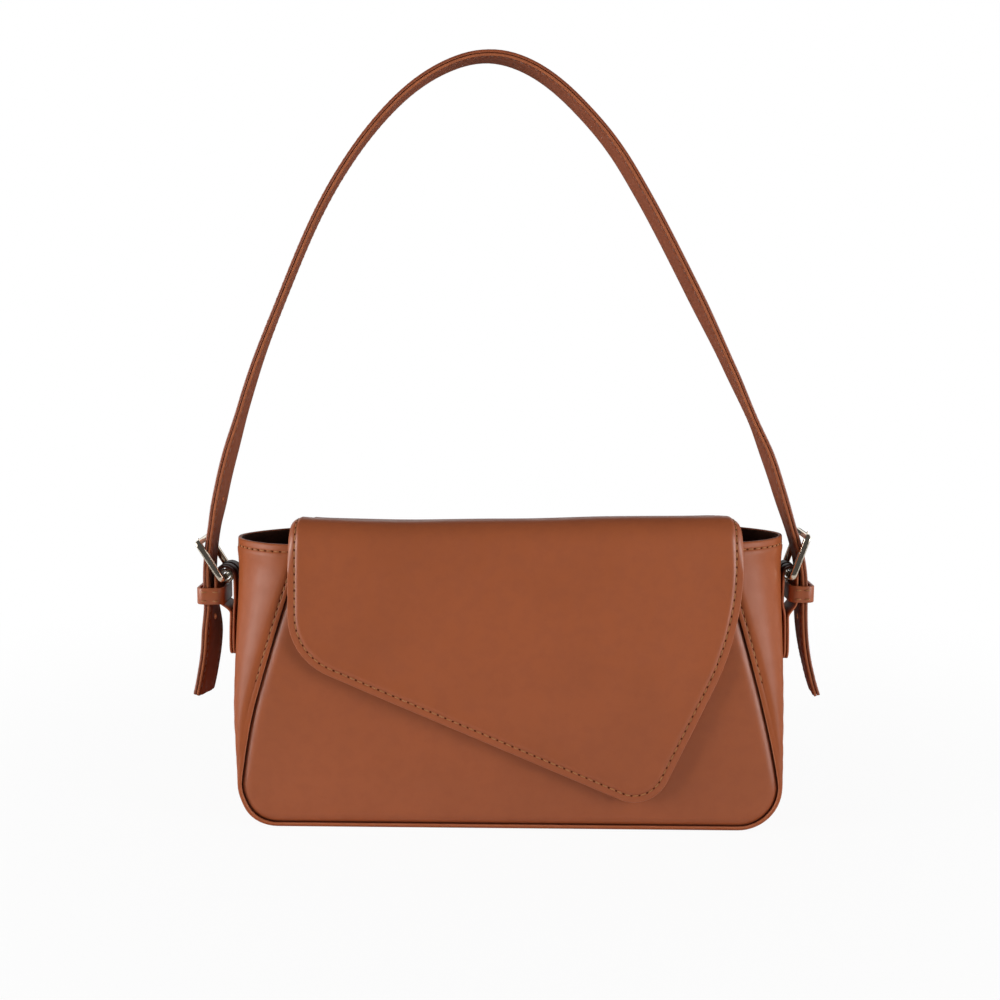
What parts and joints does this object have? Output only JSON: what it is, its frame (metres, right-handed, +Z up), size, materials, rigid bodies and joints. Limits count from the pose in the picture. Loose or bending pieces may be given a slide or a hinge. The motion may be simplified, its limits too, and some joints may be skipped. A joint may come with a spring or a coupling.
{
  "type": "leather shoulder bag",
  "caption": "Small structured shoulder bag with a slanted flap, a magnetic snap, and a flat strap buckled to a tab on each side.",
  "frame": {"origin": "middle of the base's underside, on the surface the bag stands on", "axes": "+Z up, X along the bag's width, the front with the flap faces -Y"},
  "size_m": [0.3096, 0.0813, 0.3676],
  "materials": {
    "tan_leather": "smooth satin tan-brown leather",
    "dark_lining": "dark brown suede-like lining",
    "strap_underside": "matt dark brown leather",
    "grey_board": "pressed fibre board",
    "pale_gold_metal": "polished pale gold plating",
    "snap_metal": "plated steel"
  },
  "bodies": {
    "bag": {"front_panel": "tan_leather", "back_panel": "tan_leather", "left_gusset": "tan_leather", "right_gusset": "tan_leather", "base_panel": "tan_leather", "body_lining": "dark_lining", "base_board": "grey_board", "flap_sewn_edge": "tan_leather", "snap_socket": "snap_metal", "snap_socket_washer": "snap_metal", "left_tab": "tan_leather", "right_tab": "tan_leather"},
    "flap": {"flap_outer": "tan_leather", "flap_lining": "dark_lining", "snap_stud": "snap_metal", "snap_stud_washer": "snap_metal"},
    "strap": {"strap_outer": "tan_leather", "strap_lining": "strap_underside", "left_buckle_frame": "pale_gold_metal", "right_buckle_frame": "pale_gold_metal", "left_keeper": "tan_leather", "right_keeper": "tan_leather"},
    "left_prong": {"left_buckle_prong": "pale_gold_metal"},
    "right_prong": {"right_buckle_prong": "pale_gold_metal"}
  },
  "joints": [
    {"name": "flap_hinge", "type": "hinge", "parent": "bag", "child": "flap", "pos_m": [0, 0.0313, 0.1366], "axis": [-1, 0, 0], "range_deg": [0, 180]},
    {"name": "strap_swing", "type": "hinge", "parent": "bag", "child": "strap", "pos_m": [0, 0, 0.10595], "axis": [1, 0, 0], "range_deg": [-110, 110], "deforming": ["left_tab", "right_tab"]},
    {"name": "left_prong_hinge", "type": "hinge", "parent": "strap", "child": "left_prong", "pos_m": [-0.14037, 0, 0.1154], "axis": [0, -1, 0], "range_deg": [0, 5]},
    {"name": "right_prong_hinge", "type": "hinge", "parent": "strap", "child": "right_prong", "pos_m": [0.13774, 0, 0.1187], "axis": [0, 1, 0], "range_deg": [0, 5]}
  ]
}
